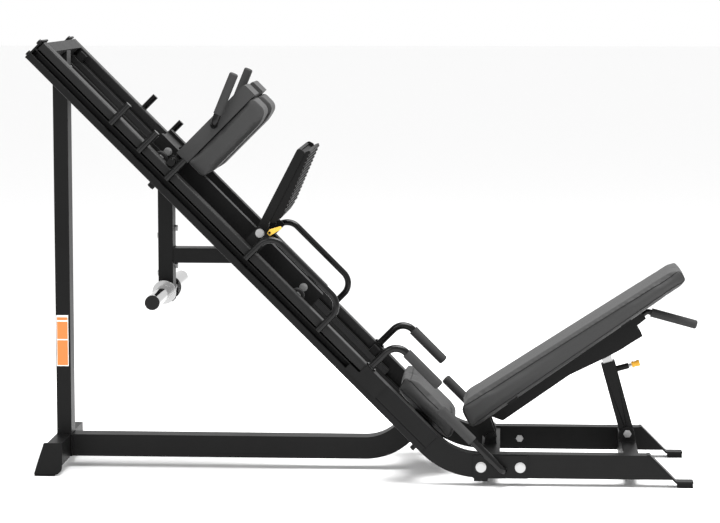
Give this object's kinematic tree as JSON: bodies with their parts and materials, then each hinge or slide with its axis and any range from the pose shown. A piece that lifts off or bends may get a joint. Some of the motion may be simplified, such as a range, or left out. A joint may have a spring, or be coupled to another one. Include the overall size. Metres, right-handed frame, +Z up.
{
  "type": "hack squat machine",
  "caption": "Inclined leg press and hack squat machine: sliding roller carriage with shoulder pads, weight sleeves and a folding foot plate; seat with adjustable backrest.",
  "frame": {"origin": "on the floor, under the centre of the bounding box", "axes": "+X from the rear post towards the backrest, +Y towards the seated user's right, +Z up"},
  "size_m": [2.2261, 0.734, 1.4644],
  "materials": {
    "frame_paint": "satin black powder coat",
    "gloss_paint": "gloss black",
    "grip_rubber": "matte",
    "zinc": "bright zinc",
    "chrome": "polished",
    "black_plastic": "matte",
    "vinyl": "dark grey upholstery vinyl, low sheen",
    "tread_steel": "ribbed tread, satin",
    "yellow": "gloss"
  },
  "bodies": {
    "frame": {"left_frame_rail": "frame_paint", "left_guard_tube": "frame_paint", "left_stabiliser": "frame_paint", "right_frame_rail": "frame_paint", "right_guard_tube": "frame_paint", "right_stabiliser": "frame_paint", "roller_tracks": "frame_paint", "rail_end_plates": "frame_paint", "top_crossmember": "frame_paint", "rear_post": "frame_paint", "post_foot": "frame_paint", "base_tube": "frame_paint", "lower_crossmember": "frame_paint", "splice_plates": "frame_paint", "heel_plates": "frame_paint", "rubber_feet": "grip_rubber", "rail_bumpers": "grip_rubber", "stop_pegs": "gloss_paint", "guard_bars": "gloss_paint", "handle_bearings": "frame_paint", "seat_handles": "gloss_paint", "seat_handle_grips": "grip_rubber", "seat_frame": "frame_paint", "seat_pad": "vinyl", "seat_crossmember": "frame_paint", "strut_crossmember": "frame_paint", "pivot_pins": "zinc", "frame_bolts": "zinc"},
    "carriage": {"carriage_frame": "frame_paint", "roller_brackets": "frame_paint", "carriage_bolts": "zinc", "track_wipers": "grip_rubber", "weight_post": "frame_paint", "weight_arm": "frame_paint", "weight_sleeves": "chrome", "sleeve_caps": "black_plastic", "pad_boards": "black_plastic", "left_shoulder_pad": "vinyl", "right_shoulder_pad": "vinyl"},
    "left_lockout": {"left_lockout_handle": "gloss_paint", "left_lockout_grip": "grip_rubber"},
    "left_upper_wheel": {"left_upper_roller": "black_plastic"},
    "left_lower_wheel": {"left_lower_roller": "black_plastic"},
    "left_pin": {"left_lock_pin": "zinc"},
    "right_lockout": {"right_lockout_handle": "gloss_paint", "right_lockout_grip": "grip_rubber"},
    "right_upper_wheel": {"right_upper_roller": "black_plastic"},
    "right_lower_wheel": {"right_lower_roller": "black_plastic"},
    "right_pin": {"right_lock_pin": "zinc"},
    "hack_bar": {"hack_handles": "gloss_paint", "hack_grips": "grip_rubber"},
    "foot_plate": {"foot_plate_frame": "frame_paint", "foot_plate_tread": "tread_steel"},
    "foot_latch": {"foot_plate_lever": "yellow"},
    "backrest": {"backrest_frame": "frame_paint", "backrest_pad": "vinyl", "rear_handle": "gloss_paint"},
    "strut": {"strut_tube": "frame_paint"},
    "strut_inner": {"strut_inner_tube": "zinc"},
    "strut_pin": {"pop_pin": "yellow"}
  },
  "joints": [
    {"name": "carriage_slide", "type": "slide", "parent": "frame", "child": "carriage", "axis": [0.7071, 0, -0.7071], "range_m": [-0.34, 0.27]},
    {"name": "left_upper_roll", "type": "hinge", "parent": "carriage", "child": "left_upper_wheel", "pos_m": [-0.67206, -0.2265, 1.07192], "axis": [0, 1, 0], "range_deg": [-810, 645]},
    {"name": "left_lower_roll", "type": "hinge", "parent": "carriage", "child": "left_lower_wheel", "pos_m": [-0.22022, -0.2265, 0.62008], "axis": [0, 1, 0], "range_deg": [-810, 645]},
    {"name": "left_lockout_swing", "type": "hinge", "parent": "frame", "child": "left_lockout", "pos_m": [0.06828, -0.281, 0.43057], "axis": [-0.7071, 0, -0.7071], "range_deg": [0, 90]},
    {"name": "right_upper_roll", "type": "hinge", "parent": "carriage", "child": "right_upper_wheel", "pos_m": [-0.67206, 0.2265, 1.07192], "axis": [0, 1, 0], "range_deg": [-810, 645]},
    {"name": "right_lower_roll", "type": "hinge", "parent": "carriage", "child": "right_lower_wheel", "pos_m": [-0.22022, 0.2265, 0.62008], "axis": [0, 1, 0], "range_deg": [-810, 645]},
    {"name": "right_lockout_swing", "type": "hinge", "parent": "frame", "child": "right_lockout", "pos_m": [0.06828, 0.281, 0.43057], "axis": [0.7071, 0, 0.7071], "range_deg": [0, 90]},
    {"name": "hack_twist", "type": "hinge", "parent": "carriage", "child": "hack_bar", "pos_m": [-0.49528, 0, 1.18081], "axis": [0, -1, 0], "range_deg": [0, 30], "stiffness_Nm_per_rad": 6, "springref_deg": -20.05},
    {"name": "left_pin_draw", "type": "slide", "parent": "carriage", "child": "left_pin", "axis": [0, 1, 0], "range_m": [0, 0.0085]},
    {"name": "right_pin_draw", "type": "slide", "parent": "carriage", "child": "right_pin", "axis": [0, -1, 0], "range_m": [0, 0.0085]},
    {"name": "foot_plate_fold", "type": "hinge", "parent": "carriage", "child": "foot_plate", "pos_m": [-0.34114, 0, 0.82726], "axis": [0, 1, 0], "range_deg": [0, 85]},
    {"name": "foot_latch_press", "type": "hinge", "parent": "foot_plate", "child": "foot_latch", "pos_m": [-0.31072, -0.224, 0.82732], "axis": [0, 1, 0], "range_deg": [0, 12], "stiffness_Nm_per_rad": 0.8, "springref_deg": -17.19},
    {"name": "backrest_recline", "type": "hinge", "parent": "frame", "child": "backrest", "pos_m": [0.42, 0, 0.124], "axis": [0, -1, 0], "range_deg": [0, 14]},
    {"name": "strut_tilt", "type": "hinge", "parent": "frame", "child": "strut", "pos_m": [0.882, 0, 0.132], "axis": [0, -1, 0], "range_deg": [0, 8.4]},
    {"name": "strut_extend", "type": "slide", "parent": "strut", "child": "strut_inner", "axis": [-0.2695, 0, 0.963], "range_m": [0, 0.108]},
    {"name": "pop_pin_pull", "type": "slide", "parent": "strut", "child": "strut_pin", "axis": [0.963, 0, 0.2695], "range_m": [0, 0.01], "stiffness_N_per_m": 800, "springref_m": -0.01}
  ],
  "couplings": [
    {"joint": "left_upper_roll", "follows": "carriage_slide", "rad_per_m": 41.152},
    {"joint": "left_lower_roll", "follows": "carriage_slide", "rad_per_m": 41.152},
    {"joint": "left_pin_draw", "follows": "hack_twist", "m_per_rad": 0.0153},
    {"joint": "right_upper_roll", "follows": "carriage_slide", "rad_per_m": 41.152},
    {"joint": "right_lower_roll", "follows": "carriage_slide", "rad_per_m": 41.152},
    {"joint": "right_pin_draw", "follows": "hack_twist", "m_per_rad": 0.0153},
    {"joint": "strut_tilt", "follows": "backrest_recline", "ratio": 0.585},
    {"joint": "strut_extend", "follows": "backrest_recline", "m_per_rad": 0.4371}
  ]
}
